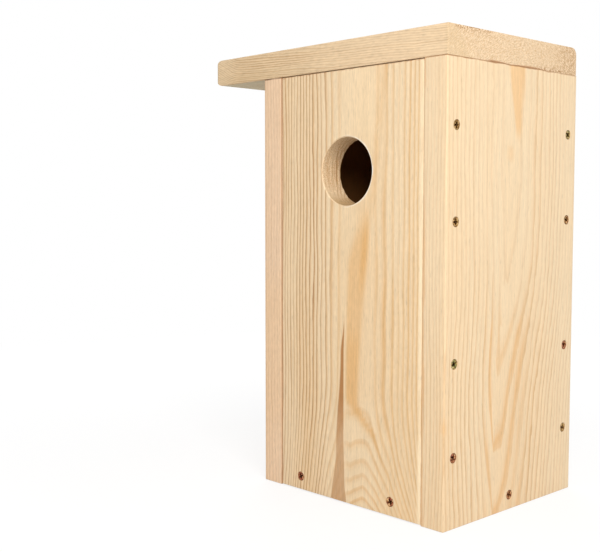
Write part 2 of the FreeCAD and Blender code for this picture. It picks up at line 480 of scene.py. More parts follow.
woodSet = {
    # the sizes of the patterns in the wood: mm across the grain, mm along it, and detail
    "patterns": {
        "wave": (16.0, 110.0, 1.0),    # slow wander of the rings
        "kink": (4.0, 22.0, 2.0),      # their small unevenness
        "patch": (60.0, 240.0, 1.0),   # where latewood is strong or weak
        "tone": (38.0, 300.0, 2.0),    # warm and cool streaks
        "fibre": (1.1, 34.0, 3.0),     # fibres, drawn about four times too wide so that they show
        "dash": (1.0, 9.0, 1.0),       # resin canals, drawn coarser than real for the same reason
        "fleck": (1.6, 5.5, 1.0),      # short pale and dark flecks
        "speckle": (0.9, 0.9, 2.0),    # torn fibres on sawn and bored faces
    },
    # the levels of noise that a pattern runs between, and what it gives at them where no board has its own
    "levels": {"wave": (0.3, 0.7), "kink": (0.3, 0.7), "patch": (0.3, 0.7), "tone": (0.4, 0.75),
               "fibre": (0.3, 0.7), "dash": (0.64, 0.74), "fleck": (0.3, 0.7)},
    "gives": {"patch": (0.75, 1.1), "tone": (0.0, 1.0), "fibre": (0.94, 1.05), "dash": (1.0, 0.88)},
    "look": {"wander": 0.22, "kink": 0.10, "fleck": (0.96, 1.035)},
    # what each board's points carry, besides their place
    "values": ("ring", "spread", "bold", "soft", "honey", "pitchLeft", "pitchRight", "pitchDepth", "pale",
               "seam", "bored", "rim", "inner", "torn"),
    # how dark the latewood is through one ring: a crisp line, or a broad one where the saw met the rings flat
    "crisp": [(0.0, 0.0), (0.50, 0.05), (0.72, 0.32), (0.85, 1.0), (0.95, 0.90), (1.0, 0.0)],
    "broad": [(0.0, 0.0), (0.30, 0.0), (0.52, 0.35), (0.74, 1.0), (0.92, 0.70), (1.0, 0.10)],
    "lineShare": {"crisp": (1.0, 0.0), "broad": (0.45, 1.0)},   # of each kind in firm and in soft wood
    "steady": {"wave": 0.60, "kink": 0.35},                     # how much of its wander a soft line keeps
    "weakYear": 0.5,                   # strength of the faintest ring
    "closeRing": 12.0,                 # mm, closer rings have their full share of latewood
    "leastSpread": 0.36,
    "sawnFacing": (0.6, 0.9),          # how squarely a face looks along the grain to be a sawn one
    "endMark": (0.9, 2.8),             # mm across and along the marks on a sawn end, which follow the rings
    "sawnLate": 0.4,                   # strength of latewood on a sawn end
    "grit": (0.75, 1.25),              # levels of marks and speckle between which a rough face changes colour
    "tornGrit": (0.95, 1.10),          # the same for torn fibres
    "boreMark": (0.9, 34.0),           # mm between the marks that the bit left in the hole, and their length
    "paleMost": 0.85,
    "seamMost": 0.75,
    "lateHeight": 0.5,                 # how far latewood stands up, where fibres are 1
    "bump": (0.35, 0.3),               # strength, and height in mm
    "roughness": (0.62, 0.48),         # of earlywood and latewood
    "specular": 0.3,
    "farOff": 9.0,                     # taken from a mark's value where the mark has no place
    "colours": {                       # where a board has none of its own
        "early": "#eed4b0", "warm": "#e9c9a0", "late": "#bb8a54", "lateSoft": "#d9a868", "honey": "#e3b67c",
        # seam: painted shade in joints and along edges
        "pitch": "#b07842", "pale": "#fbe4c0", "seam": "#a66f40", "bore": "#fee6c0", "boreDark": "#d0a472",
        # inside: painted shade on the faces within the house
        "sawn": "#e2c49b", "sawnDark": "#c9a679", "inside": "#b0753f",
        "cut": "#fff6e6",              # painted highlight on the rim of a hole
    },
}


def planedSpruce(name, board):
    # planed spruce, unfinished: pale and matt, darker latewood lines, a silky trace of fibres along the grain
    look = {**woodSet["look"], **board["look"]}
    colours = {key: hexToLinear(code) for key, code in {**woodSet["colours"], **board["colours"]}.items()}
    across, through, along = board["axes"]
    material, tree = newMaterial(name)
    place = addNode(tree, "ShaderNodeTexCoord").outputs["Object"]
    noise = {}
    for key, (wide, long, detail) in woodSet["patterns"].items():
        scale = [1 / (wide * mm)] * 3
        scale[along] = 1 / (long * mm)
        spread = addNode(tree, "ShaderNodeMapping", {
            "Vector": place, "Scale": scale, "Location": look["offset"]}).outputs[0]
        noise[key] = addNode(tree, "ShaderNodeTexNoise", {
            "Vector": spread, "Scale": 1.0, "Detail": detail}).outputs["Fac"]
    gives = {**woodSet["gives"], "wave": (-look["wander"], look["wander"]),
             "kink": (-look["kink"], look["kink"]), "fleck": look["fleck"]}
    level = {}
    for key, (start, full) in woodSet["levels"].items():
        level[key] = addNode(tree, "ShaderNodeMapRange", {
            "Value": noise[key], "From Min": start, "From Max": full, "To Min": gives[key][0],
            "To Max": gives[key][1]}).outputs[0]
    value = {}
    for key in woodSet["values"]:
        value[key] = addNode(tree, "ShaderNodeAttribute", attribute_name=key).outputs["Fac"]

    # ring count with its wander, then the latewood at the end of each ring
    bent = value["ring"]
    for key, least in woodSet["steady"].items():
        loose = addNode(tree, "ShaderNodeMapRange", {
            "Value": value["soft"], "To Min": 1.0, "To Max": least}).outputs[0]
        loose = addNode(tree, "ShaderNodeMath", {0: loose, 1: value["spread"]},
                        operation="MULTIPLY").outputs[0]
        bent = addNode(tree, "ShaderNodeMath", {0: level[key], 1: loose, 2: bent},
                       operation="MULTIPLY_ADD").outputs[0]
    part = addNode(tree, "ShaderNodeMath", {0: bent}, operation="FRACT").outputs[0]
    left = addNode(tree, "ShaderNodeMath", {0: 1.0, 1: part}, operation="SUBTRACT").outputs[0]
    left = addNode(tree, "ShaderNodeMath", {0: left, 1: value["spread"]}, operation="DIVIDE").outputs[0]
    part = addNode(tree, "ShaderNodeMath", {0: 1.0, 1: left}, operation="SUBTRACT", use_clamp=True).outputs[0]
    count = addNode(tree, "ShaderNodeMath", {0: bent}, operation="FLOOR").outputs[0]
    year = addNode(tree, "ShaderNodeTexWhiteNoise", {"W": count}, noise_dimensions="1D").outputs["Value"]
    strength = addNode(tree, "ShaderNodeMapRange", {
        "Value": year, "To Min": woodSet["weakYear"], "To Max": 1.0}).outputs[0]
    lines = {}
    for key, (firm, soft) in woodSet["lineShare"].items():
        line = addNode(tree, "ShaderNodeValToRGB", {"Fac": part})
        line.color_ramp.interpolation = "EASE"
        setStops(line.color_ramp, woodSet[key])
        own = addNode(tree, "ShaderNodeMapRange", {
            "Value": value["soft"], "To Min": firm, "To Max": soft}).outputs[0]
        lines[key] = line.outputs["Color"]
        for share in (own, strength, level["patch"], value["bold"]):
            lines[key] = addNode(tree, "ShaderNodeMath", {0: lines[key], 1: share},
                                 operation="MULTIPLY").outputs[0]

    # planed faces are earlywood with warm streaks, sawn ends are duller, with short marks along the rings
    planed = addNode(tree, "ShaderNodeMix", {0: level["tone"], 6: colours["early"], 7: colours["warm"]},
                     data_type="RGBA").outputs[2]
    facing = addNode(tree, "ShaderNodeNewGeometry").outputs["Normal"]
    facing = addNode(tree, "ShaderNodeSeparateXYZ", {0: facing}).outputs[along]
    facing = addNode(tree, "ShaderNodeMath", {0: facing}, operation="ABSOLUTE").outputs[0]
    start, full = woodSet["sawnFacing"]
    sawn = addNode(tree, "ShaderNodeMapRange", {
        "Value": facing, "From Min": start, "From Max": full}).outputs[0]
    wide, long = woodSet["endMark"]
    aside = addNode(tree, "ShaderNodeSeparateXYZ", {0: place}).outputs[across]
    aside = addNode(tree, "ShaderNodeMath", {0: aside, 1: 1 / (long * mm)}, operation="MULTIPLY").outputs[0]
    outward = addNode(tree, "ShaderNodeMath", {0: bent, 1: board["log"]["ringDepth"] / wide},
                      operation="MULTIPLY").outputs[0]
    swirl = addNode(tree, "ShaderNodeCombineXYZ", {0: outward, 1: aside}).outputs[0]
    marks = addNode(tree, "ShaderNodeTexNoise", {
        "Vector": swirl, "Scale": 1.0, "Detail": 2.0}).outputs["Fac"]

    # the wall of a hole is scored round by the bit
    between, long = woodSet["boreMark"]
    scale = [1 / (long * mm)] * 3
    scale[through] = 1 / (between * mm)
    spread = addNode(tree, "ShaderNodeMapping", {"Vector": place, "Scale": scale}).outputs[0]
    score = addNode(tree, "ShaderNodeTexNoise", {
        "Vector": spread, "Scale": 1.0, "Detail": 3.0}).outputs["Fac"]

    # both kinds of rough face have speckles too, which set how pale they are and where fibres are torn
    marked, score = [addNode(tree, "ShaderNodeMath", {
        0: own, 1: noise["speckle"]}, operation="ADD").outputs[0] for own in (marks, score)]
    grit, torn, score = [addNode(tree, "ShaderNodeMapRange", {
        "Value": own, "From Min": woodSet[key][0], "From Max": woodSet[key][1]}).outputs[0]
        for own, key in ((marked, "grit"), (marked, "tornGrit"), (score, "grit"))]
    for share in (value["torn"], sawn):
        torn = addNode(tree, "ShaderNodeMath", {0: torn, 1: share}, operation="MULTIPLY").outputs[0]
    ends = addNode(tree, "ShaderNodeMix", {0: grit, 6: colours["sawn"], 7: colours["sawnDark"]},
                   data_type="RGBA").outputs[2]
    scored = addNode(tree, "ShaderNodeMix", {0: score, 6: colours["boreDark"], 7: colours["bore"]},
                     data_type="RGBA").outputs[2]
    fainter = addNode(tree, "ShaderNodeMapRange", {
        "Value": sawn, "To Min": 1.0, "To Max": woodSet["sawnLate"]}).outputs[0]
    late = addNode(tree, "ShaderNodeMath", {0: lines["crisp"], 1: fainter}, operation="MULTIPLY").outputs[0]

    # over these the honey streak, latewood, pitch with painted shade under the roof, pale edges, painted
    # shade in the joints, a painted highlight on the rim of the hole, and painted shade on the inside faces
    # pitch on the panel; on the walls and the roof the same values paint shade under the roof
    pitch = addNode(tree, "ShaderNodeMath", {0: value["pitchLeft"], 1: value["pitchRight"]},
                    operation="MINIMUM", use_clamp=True).outputs[0]
    pitch = addNode(tree, "ShaderNodeMath", {0: pitch, 1: value["pitchDepth"]},
                    operation="MULTIPLY").outputs[0]
    pale, seam = [addNode(tree, "ShaderNodeMapRange", {
        "Value": value[key], "To Max": woodSet[key + "Most"]}).outputs[0] for key in ("pale", "seam")]
    colour = planed
    for share, over in ((sawn, ends), (value["bored"], scored), (value["honey"], colours["honey"]),
                        (lines["broad"], colours["lateSoft"]), (late, colours["late"]),
                        (torn, colours["late"]), (pitch, colours["pitch"]), (pale, colours["pale"]),
                        (seam, colours["seam"]), (value["rim"], colours["cut"]),
                        (value["inner"], colours["inside"])):
        colour = addNode(tree, "ShaderNodeMix", {0: share, 6: colour, 7: over}, data_type="RGBA").outputs[2]
    for key in ("fibre", "dash", "fleck"):
        colour = addNode(tree, "ShaderNodeMix", {0: 1.0, 6: colour, 7: level[key]}, data_type="RGBA",
                         blend_type="MULTIPLY").outputs[2]

    height = addNode(tree, "ShaderNodeMath", {0: late, 1: woodSet["lateHeight"], 2: noise["fibre"]},
                     operation="MULTIPLY_ADD").outputs[0]
    for share, own in ((sawn, marks), (value["bored"], score)):
        height = addNode(tree, "ShaderNodeMath", {0: share, 1: own, 2: height},
                         operation="MULTIPLY_ADD").outputs[0]
    strength, tall = woodSet["bump"]
    bump = addNode(tree, "ShaderNodeBump", {"Strength": strength, "Distance": tall * mm, "Height": height})
    dull, silky = woodSet["roughness"]
    rough = addNode(tree, "ShaderNodeMapRange", {"Value": late, "To Min": dull, "To Max": silky})
    shader = addNode(tree, "ShaderNodeBsdfPrincipled", {
        "Base Color": colour, "Roughness": rough.outputs[0], "Specular IOR Level": woodSet["specular"],
        "Normal": bump.outputs[0]})
    addNode(tree, "ShaderNodeOutputMaterial", {"Surface": shader.outputs[0]})
    return material


def addBoard(name, board):
    points, quads, marks = shapeBoard(board)
    at = placeFigure(board["figure"], *points.T)
    values = {"ring": growthRings(board, points.T), "spread": ringSpread(board, points.T),
              "inner": insideHouse(points.T), **marks, **board["streaks"](at, *points.T)}
    values["spread"] = values["spread"] * values.pop("widen", 1.0)
    piece = toObject(name, points, quads, values)
    piece.data.materials.append(planedSpruce("planed spruce, " + board["called"], board))
    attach(piece, "root")
    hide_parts(board["node"])
    print(name, "made:", len(piece.data.polygons), "faces")


# Entrance panel

def panelStreaks(at, x, y, z):
    # Close crisp lines at the left, a plain middle with a honey streak, broad soft lines at the right and
    # over the arches at the foot. A wedge of pitch widens to the foot, the right edge has a pale strip with a
    # resin spot, and brown lines of painted shade lie in the joints and under the roof.
    hole = entrancePanel["hole"]
    bored = ease(0.6, 0.3, np.hypot(x - hole["centre"][0], z - hole["centre"][1]) - hole["radius"])
    bold = 0.22 + 0.46 * at["leftHalf"] + 0.38 * at["closeLines"] - 0.20 * at["leftEdge"]
    bold = bold * (1 - 0.20 * at["upper"] - 0.32 * at["lower"]) + 0.45 * at["rightLines"]
    bold = bold + 0.50 * at["archHeight"] * at["archWidth"]
    bold = bold * (1 - 0.36 * at["rightBand"] * at["upperHalf"])
    bold = bold * (1 - 0.28 * at["leftBand"] * at["middleHeight"])
    bold = bold * (1 - bored) + bored * (0.14 + 0.66 * at["boreDepth"])

    honeyLeft = -1.8 + 3.8 * at["honeyLean"] + 11.0 * at["honeyNarrow"]  # mm, its two sides
    honeyRight = 12.5 + 13.3 * at["honeyWiden"] + 22.0 * at["honeyFootWide"]
    honeyFoot = 87.0 - 0.85 * x  # mm, it ends aslant
    blur = 1.5 + 4.0 * at["honeyBlur"]
    honey = ease(honeyLeft - blur, honeyLeft + blur, x) * ease(honeyRight + 3.0, honeyRight - 3.0, x)
    rightSide = ease(honeyRight - 10.0, honeyRight - 4.0, x) * at["upperHalf"]
    honey = honey * (0.58 + 0.36 * rightSide + 0.22 * at["honeyLow"])
    honey = honey * ease(honeyFoot - 6.0, honeyFoot + 6.0, z) * at["honeyHeight"]
    beside = ease(honeyRight - 3.0, honeyRight + 3.0, x) * at["besideEnd"] * at["besideHeight"]
    line = ease(5.0, 1.0, np.abs(x - 27.0 - 0.12 * (z - 250.0))) * at["lineHeight"]
    resin = at["resinWidth"] * at["resinHeight"]
    honey = np.maximum(honey + 0.14 * beside, 0.30 * line) + 0.3 * resin

    wedgeLeft = -4.9 - 3.6 * at["wedgeTip"] - 2.8 * at["wedgeSide"] - 2.1 * at["wedgeWide"]  # mm, its sides
    wedgeLeft = wedgeLeft - 6.4 * at["wedgeFoot"]
    wedgeRight = -4.0 + 0.8 * at["wedgeLean"] + 1.1 * at["wedgeRight"] + 2.6 * at["wedgeFlare"]
    crisp = 0.75 + 0.25 * at["wedgeCrisp"]

    strip = (x - 78.3 + 0.9 * ripple(35, z / 60)) * (0.3 + 0.7 * at["stripHeight"])
    strip = np.minimum(strip, (82.0 - x) * 2.5) - 0.7 * resin - 0.10 * at["stripFoot"]
    cream = 0.30 * at["creamWidth"] * at["creamHeight"] * (1 - bored)
    # painted shade: brown lines in the joints with the walls and under the roof
    uneven = np.maximum(0.25 + 0.3 * ripple(31, z / 70), 0) + 1.2 * at["jointTop"]
    sides = (np.abs(x) - 81.9) * np.where(x > 0, uneven, 1.6)
    top = (z - 370.4) * np.maximum(0.7 + 0.4 * ripple(53, x / 14), 0)
    behind = (1 - at["front"]) * woodSet["farOff"]
    return {"bold": bold, "soft": at["softLines"] * (1 - bored), "honey": honey * at["front"],
            "pitchLeft": (x - wedgeLeft) * crisp, "pitchRight": (wedgeRight - x) * 1.4,
            "pitchDepth": (0.60 + 0.34 * at["wedgeDark"]) * at["wedgeFade"] * at["front"],
            "pale": np.maximum(strip, cream) - behind, "seam": np.maximum(sides, top) - behind}


entrancePanel = {
    "node": "entrance_panel",
    "called": "entrance panel",
    "axes": (0, 1, 2),                 # across the grain, through the board, along the grain
    "outward": -1,
    "screws": "entrance_panel_",
    "tints": (0.95, 0.85),             # of its screws, from olive to reddish, in the order of their names
    "hole": {
        "centre": (-2.0, 286.0), "radius": 29.0, "bevel": 0.7,    # mm
        "innerRings": 13, "outerRings": (0.8, 1.3, 4.0, 7.0, 10.3), "wallRows": 9,
        "fibres": 0.45,                # mm, how far the longest stand out
        "fibreWaves": 5, "fibreDepth": (0.7, 1.0),
        "endGrainAndShade": 0.90, "endGrainAndShadeLow": (0.2, 0.9),
        "rim": 0.9, "rimRight": (-0.3, 0.7),
    },
    # lean is a shift in mm over a stretch of the board, and rise a count of rings over one, with its power
    "log": {"heart": 18.0, "lean": (-4.0, 130.0, 10.0), "plateau": (16.0, 0.0), "flat": (45.0, 80.0),
            "ringWidth": (3.2, 2.6), "crease": (0.0, 0.0), "rise": (-6.3, 110.0, 0.0, 2.0),
            "reach": (44.0, 160.0), "ringDepth": 4.5, "first": 1.3},
    "look": {"offset": (3.1, 7.7, 1.9), "wander": 0.34, "kink": 0.06},
    "colours": {"early": "#efd5af", "warm": "#ebcca1", "late": "#9c5f1f", "lateSoft": "#d6a05b",
                "honey": "#e1af70", "pale": "#fee7c1", "seam": "#a0653a", "sawn": "#d8b88c",
                "sawnDark": "#b8925f"},
    "figure": {                        # mm, where each mark starts and is full, and fades and ends
        "front": ("y", -81.0, -85.0), "boreDepth": ("y", -86.0, -72.0),
        "leftHalf": ("x", 0.0, -14.0), "closeLines": ("x", -20.0, -34.0), "leftEdge": ("x", -58.0, -74.0),
        "leftBand": ("x", -62.0, -68.0), "middleHeight": ("z", 150.0, 190.0, 235.0, 275.0),
        "softLines": ("x", -34.0, -10.0), "rightLines": ("x", 28.0, 36.0),
        "rightBand": ("x", 38.0, 44.0, 58.0, 66.0), "upperHalf": ("z", 170.0, 215.0),
        "upper": ("z", 230.0, 330.0), "lower": ("z", 95.0, 45.0),
        "archWidth": ("x", -4.0, 2.0, 30.0, 44.0), "archHeight": ("z", 95.0, 60.0),
        "honeyLean": ("z", 105.0, 255.0), "honeyNarrow": ("z", 205.0, 250.0),
        "honeyWiden": ("z", 95.0, 270.0), "honeyFootWide": ("z", 92.0, 58.0),
        "honeyBlur": ("z", 190.0, 230.0), "honeyLow": ("z", 160.0, 130.0),
        "honeyHeight": ("z", 48.0, 66.0, 225.0, 268.0),
        "besideEnd": ("x", 44.0, 36.0), "besideHeight": ("z", 80.0, 100.0, 205.0, 240.0),
        "lineHeight": ("z", 232.0, 262.0),
        "resinWidth": ("x", 78.8, 81.0), "resinHeight": ("z", 64.0, 76.0, 102.0, 118.0),
        "wedgeTip": ("z", 158.0, 130.0), "wedgeSide": ("z", 130.0, 50.0), "wedgeWide": ("z", 125.0, 50.0),
        "wedgeFoot": ("z", 45.0, -4.0), "wedgeLean": ("z", 132.0, 155.0), "wedgeRight": ("z", 62.0, 25.0),
        "wedgeFlare": ("z", 20.0, -2.0), "wedgeCrisp": ("z", 110.0, 60.0), "wedgeDark": ("z", 50.0, 95.0),
        "wedgeFade": ("z", 165.0, 152.0),
        "stripHeight": ("z", 270.0, 200.0), "stripFoot": ("z", 100.0, 60.0),
        "creamWidth": ("x", -12.0, 4.0, 26.0, 40.0), "creamHeight": ("z", 285.0, 330.0),
        "jointTop": ("z", 345.0, 362.0),
    },
    "streaks": panelStreaks,
}
addBoard("entrancePanel", entrancePanel)


# Right wall

def rightWallStreaks(at, x, y, z):
    # Paler and softer than the panel, strongest low down, broad on the right legs of the arches, with an
    # orange streak at the top and an orange patch low on the front arris. A brown line of painted shade lies
    # under the roof, and one in the joint with the panel, weak in two places.
    plain = at["plainHeight"] * ease(48.0, 24.0, np.abs(y + 10.0))
    legs = at["legsWidth"] * at["legsHeight"]
    bold = 0.30 + 0.14 * at["lower"] - 0.14 * plain + 0.22 * legs - 0.10 * (1 - at["outer"])
    bold = bold + 0.16 * at["rearLines"] - 0.12 * at["rearEdge"]
    half = 2.6 + 8.4 * at["streakWiden"]  # mm, half the streak's width
    middle = 3.5 - 2.5 * at["streakLean"]
    honey = ease(half + 2.0, half - 2.0, np.abs(y - middle)) * at["streakHeight"]
    honey = honey + 0.5 * ease(5.5, 1.5, np.abs(y + 7.0)) * ease(9.0, 3.0, np.abs(z - 300.0))
    fromArris = np.hypot(x - 105.5, y + 92.0)
    arris = ease(1.6, 0.4, fromArris) * (0.10 + 0.16 * at["arrisTop"])
    arris = arris + 0.40 * ease(4.0, 1.5, fromArris) * at["patchHeight"]
    # painted shade in the joint with the panel, weaker in two places
    joint = 0.1 + 0.9 * at["jointLow"] + 0.5 * at["jointTop"]
    joint = joint - 0.5 * at["jointPale"] - 0.72 * at["jointPalest"]
    joint = (85.4 + 0.5 * ripple(33, z / 60) - x) * joint - woodSet["farOff"] * at["behindFront"]
    return {"bold": bold, "soft": 0.95 * legs * at["outer"],
            "widen": 1 + 0.8 * legs * at["rightLegs"] * at["outer"],
            "honey": 0.62 * honey * at["outer"] + arris, "seam": joint,
            "pale": 0.24 * at["rearHalf"] * at["outer"],
            "pitchLeft": (z - 371.0 + 0.35 * ripple(37, y / 25)) * 1.6, "pitchRight": 1.0, "pitchDepth": 0.78}


rightWall = {
    "node": "right_wall",
    "called": "right wall",
    "axes": (1, 0, 2),
    "outward": 1,
    "ends": (0.3, 0.6),
    "screws": "right_wall_",
    "tints": (0.95, 0.08, 0.42, 0.45, 0.80, 0.42, 0.85, 0.60, 0.18),
    "log": {"heart": -26.0, "lean": (14.0, 80.0, 215.0), "plateau": (0.0, 5.0), "flat": (34.0, 120.0),
            "ringWidth": (6.0, 3.0), "crease": (0.075, 0.015), "rise": (3.6, 300.0, 3.0, 1.6),
            "reach": (60.0, 200.0), "ringDepth": 3.4, "first": 0.26},
    "look": {"offset": (1.3, 2.9, 5.1), "fleck": (0.972, 1.022)},
    # its pitch and seam colours are painted shade under the roof and in the joint
    "colours": {"early": "#eed5b0", "warm": "#edcfa6", "late": "#bf8a4c", "lateSoft": "#dea35b",
                "honey": "#eab97d", "pitch": "#a66f40", "seam": "#e2b585"},
    "figure": {
        "outer": ("x", 98.0, 102.0), "behindFront": ("y", -91.0, -90.0),
        "plainHeight": ("z", 150.0, 230.0), "lower": ("z", 230.0, 110.0),
        "legsWidth": ("y", -42.0, -34.0, 8.0, 24.0), "legsHeight": ("z", 185.0, 150.0),
        "rightLegs": ("y", -28.0, -18.0),
        "rearLines": ("y", 16.0, 28.0, 64.0, 74.0), "rearEdge": ("y", 68.0, 78.0),
        "rearHalf": ("y", 12.0, 42.0), "streakHeight": ("z", 306.0, 324.0),
        "streakWiden": ("z", 300.0, 380.0), "streakLean": ("z", 310.0, 372.0),
        "arrisTop": ("z", 330.0, 372.0), "patchHeight": ("z", 75.0, 79.0, 86.0, 90.0),
        "jointLow": ("z", 300.0, 205.0), "jointTop": ("z", 346.0, 358.0),
        "jointPale": ("z", 124.0, 136.0, 172.0, 184.0), "jointPalest": ("z", 42.0, 54.0, 94.0, 106.0),
    },
    "streaks": rightWallStreaks,
}
addBoard("rightWall", rightWall)


# Left wall

def leftWallStreaks(at, x, y, z):
    # painted shade: dark in the joint beside the panel, and a dark broken line under the roof
    broken = np.maximum(0.75 + 0.35 * ripple(51, x / 12), 0)
    return {"bold": 0.40 + 0.12 * ripple(4, y / 90, z / 260) + 0.35 * at["outer"],
            "seam": (x + 83.3) * 1.6 - woodSet["farOff"] * at["behindFront"], "honey": 0.22 * at["middle"],
            "pitchLeft": (z - 370.7) * 1.6, "pitchRight": 1.0, "pitchDepth": broken}


leftWall = {
    "node": "left_wall",
    "called": "left wall",
    "axes": (1, 0, 2),
    "outward": -1,
    "screws": "left_wall_",
    "log": {"heart": 14.0, "lean": (-12.0, 60.0, 330.0), "plateau": (0.0, 0.0), "flat": (38.0, 60.0),
            "ringWidth": (3.3, 3.3), "crease": (0.01, 0.01), "rise": (-5.0, 372.0, 0.0, 1.4),
            "reach": (60.0, 80.0), "ringDepth": -3.6, "first": 0.4},
    "look": {"offset": (6.7, 0.4, 3.3), "wander": 0.25, "fleck": (0.945, 1.045)},
    # pitch here is a painted shadow under the roof, seam painted shade in the joint
    "colours": {"early": "#efcfad", "warm": "#ecc7a2", "late": "#c8986a", "lateSoft": "#deb283",
                "honey": "#e9bd85", "pitch": "#6b4526", "seam": "#94602f"},
    "figure": {"outer": ("x", -100.0, -104.0), "behindFront": ("y", -91.0, -90.0),
               "middle": ("z", 20.0, 80.0, 160.0, 215.0)},
    "streaks": leftWallStreaks,
}
addBoard("leftWall", leftWall)


# Rear panel

def rearPanelStreaks(at, x, y, z):
    return {"bold": 0.50 + 0.15 * ripple(9, x / 80, z / 240)}


rearPanel = {
    "node": "rear_panel",
    "called": "rear panel",
    "axes": (0, 1, 2),
    "outward": 1,
    "screws": "rear_panel_",
    "log": {"heart": -12.0, "lean": (20.0, 40.0, 330.0), "plateau": (0.0, 4.0), "flat": (50.0, 34.0),
            "ringWidth": (3.4, 3.4), "crease": (0.01, 0.01), "rise": (-6.0, 40.0, 372.0, 1.4),
            "reach": (50.0, 60.0), "ringDepth": 4.5, "first": 0.1},
    "look": {"offset": (9.2, 4.6, 0.8)},
    "colours": {},
    "figure": {},
    "streaks": rearPanelStreaks,
}
addBoard("rearPanel", rearPanel)


# Floor board

def floorStreaks(at, x, y, z):
    return {"bold": 0.50 + 0.10 * ripple(12, x / 150, y / 60)}


floorBoard = {
    "node": "floor_board",
    "called": "floor board",
    "axes": (1, 2, 0),
    "outward": -1,
    "screws": "floor_",
    "log": {"heart": 10.0, "lean": (-8.0, -80.0, 80.0), "plateau": (0.0, 0.0), "flat": (30.0, 44.0),
            "ringWidth": (3.2, 3.2), "crease": (0.01, 0.01), "rise": (-3.0, -83.0, 83.0, 1.3),
            "reach": (60.0, 60.0), "ringDepth": 4.5, "first": 0.6},
    "look": {"offset": (2.4, 8.8, 6.1)},
    "colours": {"early": "#ecd2ad", "warm": "#e6c69c"},
    "figure": {},
    "streaks": floorStreaks,
}
addBoard("floorBoard", floorBoard)


# Roof board

def roofStreaks(at, x, y, z):
    # Stronger lines and duller wood towards the free end, fainter lines low on the edges, and painted shade
    # in olive on the underside. The other end is sawn, with a dull front corner, darker torn fibres at the
    # rear, and a split lower edge darkened by painted shade.
    low = at["lowEdge"] * (1 - at["nose"])
    edge = 373.6 + 0.8 * ripple(41, y / 70)  # mm, where the split and its painted shade start
    # a split along the lower edge of the sawn end, darkened with painted shade
    splitAndShade = (edge - z) * 1.5 * ease(48.0, 30.0, np.abs(y - 2.0))
    splitAndShade = splitAndShade * np.maximum(0.75 + 0.5 * ripple(43, y / 40), 0) - woodSet["farOff"] * (1 - at["end"])
    torn = 0.42 * at["tornRear"] + at["tornTop"] * at["tornTopWidth"]
    torn = torn + 0.9 * at["tornFoot"] * at["tornFootWidth"]
    dull = -82.0 + 20.0 * (396.0 - z) / 24.0  # mm, the corner's edge runs aslant
    corner = 0.5 * at["end"] * ease(dull + 5.0, dull - 5.0, y)
    quiet = 0.40 * low * (1 - 0.8 * at["left"]) + 0.35 * at["swirl"]
    quiet = quiet + 0.28 * (1 - at["left"]) * at["upperEdge"]
    bold = (0.50 + 0.36 * at["left"]) * (1 - quiet) * (1 - 0.40 * at["topArris"])
    bold = bold + 0.40 * at["darkLines"] * ease(6.0, 1.5, np.abs(z - 385.0)) + 0.6 * at["end"] * at["rear"]
    return {"bold": bold, "seam": splitAndShade, "torn": torn * at["end"],
            "honey": 0.55 * at["left"] * (1 + 0.6 * low) * at["frontEdge"] + corner,
            "pale": 0.22 * at["swirl"] * at["frontFace"],
            # painted shade in olive on the underside
            "pitchLeft": at["under"] * at["behindFront"], "pitchRight": 1.0,
            "pitchDepth": 0.6 * (1 - at["end"])}


roofBoard = {
    "node": "roof_board",
    "called": "roof board",
    "axes": (1, 2, 0),
    "outward": 1,
    "rounds": (0.8, 7.0, 0.8, 0.8),
    "ends": ((3.2, 8.0, 8.5), 0.3),    # the free end: its upright, lower and upper edges
    "step": 3.0,
    "screws": "roof_",
    "log": {"heart": 2.0, "lean": (15.0, -182.0, -140.0), "plateau": (0.0, 0.0), "flat": (95.0, 95.0),
            "ringWidth": (1.9, 1.9), "crease": (0.0, 0.0), "rise": (7.0, -175.0, 105.0, 1.0),
            "reach": (900.0, 900.0), "ringDepth": 2.0, "first": 0.2},
    "look": {"offset": (4.4, 1.2, 7.9), "wander": 0.60, "kink": 0.15, "fleck": (0.945, 1.05)},
    # pitch here is the olive painted shade of the underside
    "colours": {"early": "#ebcfa9", "warm": "#e5c49b", "late": "#a06f3c", "lateSoft": "#d3a468",
                "honey": "#dabe95", "pitch": "#b0b090", "sawn": "#f3dab8", "sawnDark": "#d6b388"},
    "figure": {
        "left": ("x", 60.0, -165.0), "swirl": ("x", -135.0, -168.0), "nose": ("x", -166.0, -172.0),
        "end": ("x", 104.9, 105.3), "darkLines": ("x", -140.0, -112.0, -62.0, -30.0),
        "frontEdge": ("y", -80.0, -90.0), "frontFace": ("y", -86.0, -90.0),
        "behindFront": ("y", -91.2, -90.4), "rear": ("y", 48.0, 80.0), "tornRear": ("y", 45.0, 85.0),
        "tornTop": ("z", 391.0, 395.5), "tornTopWidth": ("y", -86.0, -78.0, -48.0, -30.0),
        "tornFoot": ("z", 376.5, 372.5), "tornFootWidth": ("y", 20.0, 35.0, 62.0, 78.0),
        "lowEdge": ("z", 384.0, 377.0), "upperEdge": ("z", 381.0, 388.0), "topArris": ("z", 393.0, 395.8),
        "under": ("z", 373.0, 372.2),
    },
    "streaks": roofStreaks,
}
addBoard("roofBoard", roofBoard)


# Screws

